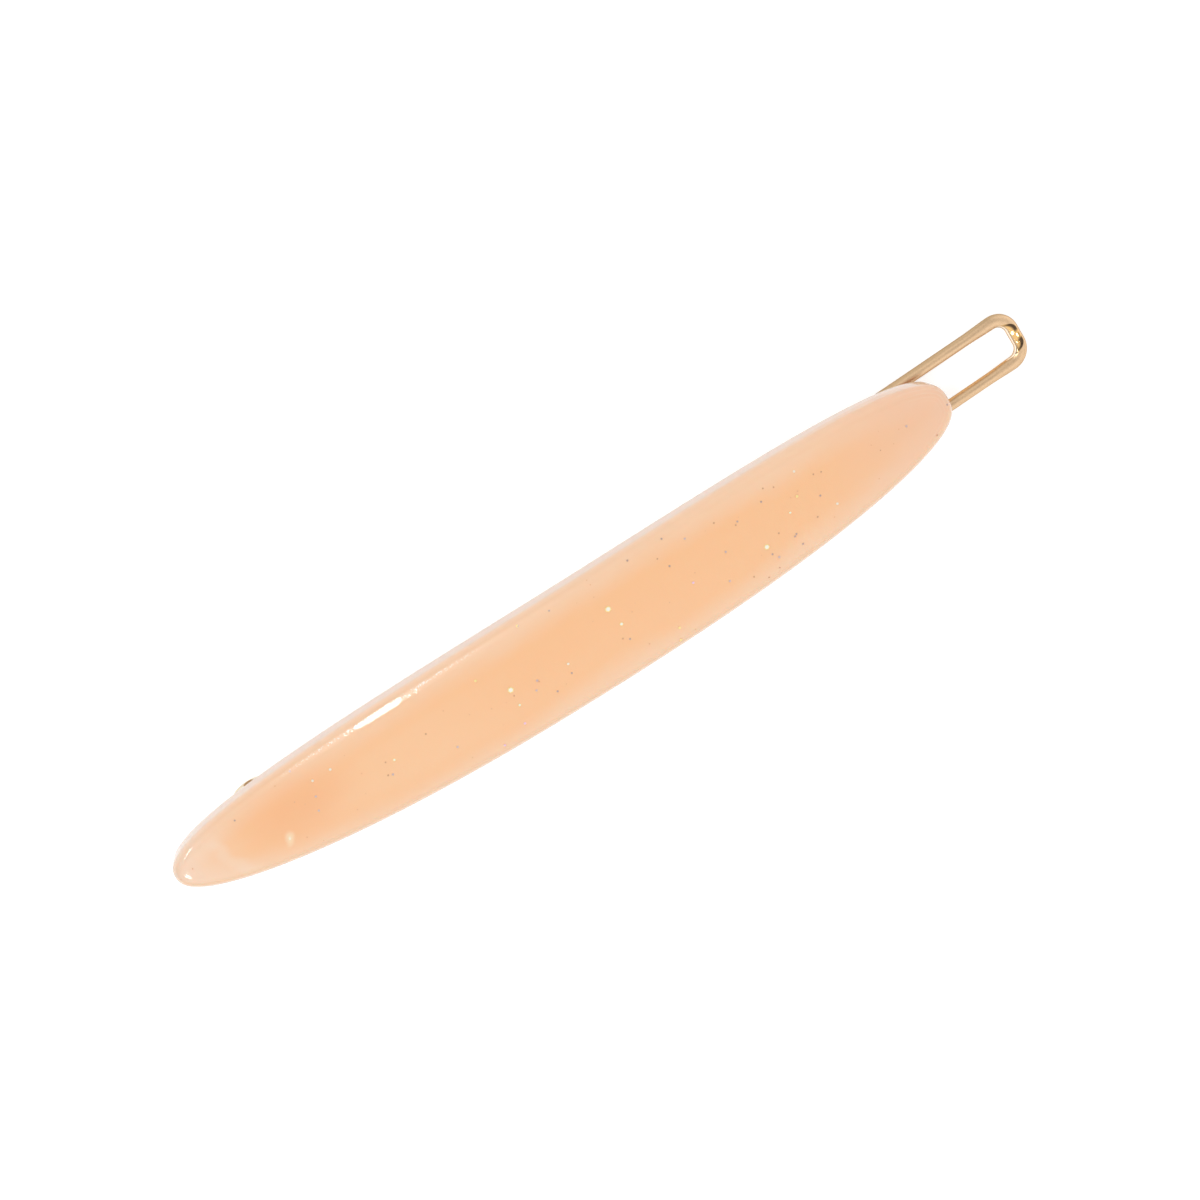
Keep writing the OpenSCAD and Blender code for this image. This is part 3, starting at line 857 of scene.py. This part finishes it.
# The finger has worn the inside of the closed end to bare metal. The dark ring in the patch is a painted dark
# reflection, and the patch's inner edge is painted pale cream as a painted highlight.
polish_half_length = 1.75 * mm
polish_sharpness, polish_growth, polish_start = 4, 1.5, 0.78
polish_raggedness, polish_gloss = 0.4, 0.28
polish_edge, polish_at_end = (0.0, 0.12), (0.9, 1.0)
dull_inner_edge = (0.98, 0.86, 0.3)
painted_dark_ring = (0.12, 0.075, 0.045, 1)
ring_fade, ring_from, ring_to = (0.95, 0.45), (0.15 * mm, 0.6 * mm), (1.75 * mm, 1.3 * mm)
bare_gold, painted_pale_edge, bare_fade = (1.0, 0.62, 0.25, 1), (1.0, 0.9, 0.74, 1), (0.45, 0.85)
wire_place = object_place(paint)
inner_side = attribute(paint, "inner_side")
off_middle = maths(paint, "ABSOLUTE", parts_of(paint, wire_place)["Y"])
polish_line = maths(paint, "POWER", maths(paint, "DIVIDE", off_middle, polish_half_length), polish_sharpness)
polish_line = maths(paint, "SUBTRACT", maths(paint, "MULTIPLY", polish_line, polish_growth), polish_start)
inside_polish = maths(paint, "ADD", maths(paint, "SUBTRACT", inner_side, polish_line),
                      swing(paint, stain, polish_raggedness))
worn = times(paint, ranged(paint, inside_polish, *polish_edge),
             ranged(paint, attribute(paint, "pressed"), *polish_at_end),
             ranged(paint, inner_side, *dull_inner_edge))
# Painted dark reflection: a dark ring is mixed into the worn patch.
painted_ring_mask = times(paint, ranged(paint, inside_polish, *ring_fade), ranged(paint, off_middle, *ring_from),
               ranged(paint, off_middle, *ring_to), worn)
# Painted highlight: the patch's inner edge is mixed pale cream.
bare_gold_and_painted_edge = mixed(paint, ranged(paint, inner_side, *bare_fade), bare_gold, painted_pale_edge)
wire_colour = mixed(paint, painted_ring_mask, mixed(paint, worn, satin_gold, bare_gold_and_painted_edge), painted_dark_ring)
roughness = maths(paint, "SUBTRACT", ranged(paint, drawn, *satin_gloss),
                  maths(paint, "MULTIPLY", worn, polish_gloss), clamp=True)

# Four small flats in the worn patch catch the long lamp, and its inner edge is bevelled. A flat
# has its middle and its radius in mm, with the slope of its face between them.
polish_flats = (((48.24, 0.38, 0.94), (0.164, -0.48, 0), 0.2), ((48.66, -0.04, 0.88), (0.66, -0.48, 0), 0.23),
                ((48.3, -0.66, 0.94), (0.22, -0.48, 0), 0.22), ((48.45, -1.08, 0.93), (0.38, -0.48, 0), 0.12))
flat_hollow = 520
bevel_under, bevel_slope = 0.86, 0.5
bevel_depth = bevel_slope * end_thickness / 2
bevel = maths(paint, "MINIMUM", maths(paint, "SUBTRACT", attribute(paint, "upper_side"), bevel_under))
relief = maths(paint, "MULTIPLY", bevel, bevel_depth)
for flat_middle, slope, radius in polish_flats:
    flat_way = vectors(paint, "SUBTRACT", wire_place, Vector(flat_middle) * mm)
    flat_across = parts_of(paint, flat_way)["X"]
    rise = maths(paint, "ADD", vectors(paint, "DOT_PRODUCT", flat_way, slope),
                 times(paint, flat_across, flat_across, flat_hollow))
    on_flat = maths(paint, "LESS_THAN", length_of(paint, flat_way), radius * mm)
    relief = maths(paint, "ADD", relief, maths(paint, "MULTIPLY", rise, on_flat))

all_scratches, scratch_strength = 1.1, 0.3
scratches = add(paint, "ShaderNodeBump", {
    "Strength": maths(paint, "MULTIPLY", maths(paint, "SUBTRACT", all_scratches, worn), scratch_strength),
    "Distance": 0.02 * mm,
    "Height": maths(paint, "ADD", drawn, specks),
})
uneven = add(paint, "ShaderNodeBump", {
    "Strength": worn,
    "Distance": 1.0,
    "Height": relief,
    "Normal": scratches.outputs[0],
})
gold = add(paint, "ShaderNodeBsdfPrincipled", {
    "Base Color": wire_colour,
    "Metallic": 1.0,
    "Specular Tint": (0.55, 0.45, 0.36, 1),
    "Roughness": roughness,
    "Normal": uneven.outputs[0],
})
add(paint, "ShaderNodeOutputMaterial", {"Surface": gold.outputs[0]})

loop = made_by(bending, sockets, wire_path, "wire_loop_bent", {
    "Wire radius": wire_radius,
    "Sides": wire_sides,
    "Pressed width": end_width,
    "Pressed thickness": end_thickness,
    "Pressing direction": (-tail_ahead.y, 0.0, tail_ahead.x),
    "Finish": material,
})
bpy.data.objects.remove(wire_path)
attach(loop, "loop")
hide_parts("wire_loop")
